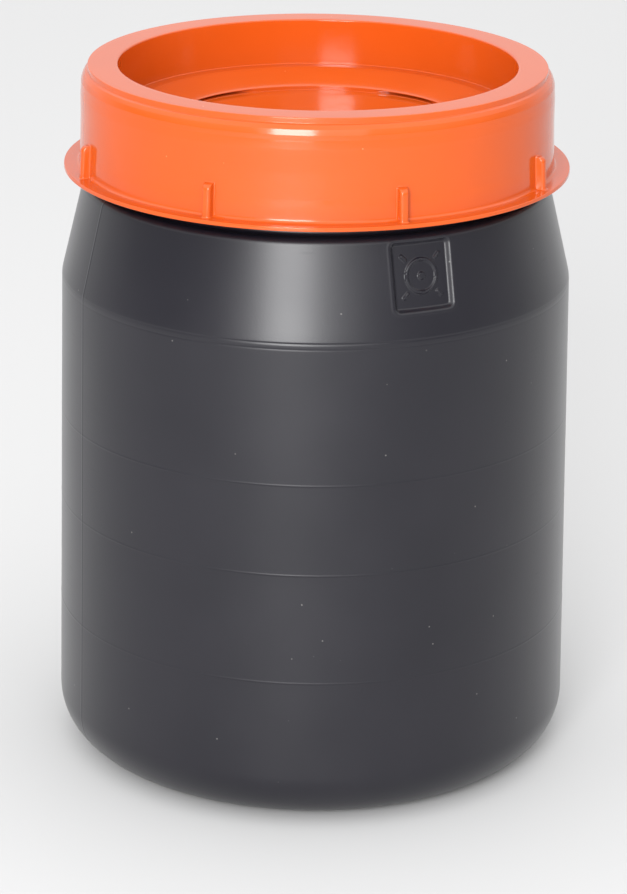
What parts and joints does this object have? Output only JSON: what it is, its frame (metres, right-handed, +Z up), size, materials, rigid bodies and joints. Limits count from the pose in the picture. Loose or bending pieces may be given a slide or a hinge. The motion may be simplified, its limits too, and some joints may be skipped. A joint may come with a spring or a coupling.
{
  "type": "bear canister",
  "caption": "Screw-top food canister: dark blow-moulded drum with a sloped shoulder and wide neck, closed by an orange recessed screw lid with a flange and grip ribs.",
  "frame": {"origin": "centre of the base, on the plane that the canister stands on", "axes": "+Z up along the canister's axis; the moulded panel on the shoulder lies 24 degrees right of the front, which faces -Y"},
  "size_m": [0.2278, 0.2278, 0.3084],
  "materials": {
    "drum_plastic": "semi-matte charcoal blow-moulded polyethylene with a fine grain and light scuffs",
    "lid_plastic": "glossy bright orange injection-moulded plastic",
    "seal_rubber": "matte black solid rubber"
  },
  "bodies": {
    "canister": {"canister_body": "drum_plastic"},
    "seal": {"lid_seal": "seal_rubber"},
    "lid": {"screw_lid": "lid_plastic"}
  },
  "joints": [
    {"name": "lid_lift", "type": "slide", "parent": "canister", "child": "seal", "axis": [0, 0, 1], "range_m": [0, 0.0481]},
    {"name": "lid_turn", "type": "hinge", "parent": "seal", "child": "lid", "pos_m": [0, 0, 0.29], "axis": [0, 0, 1], "range_deg": [0, 1440]}
  ],
  "couplings": [
    {"joint": "lid_lift", "follows": "lid_turn", "m_per_rad": 0.0019099}
  ]
}
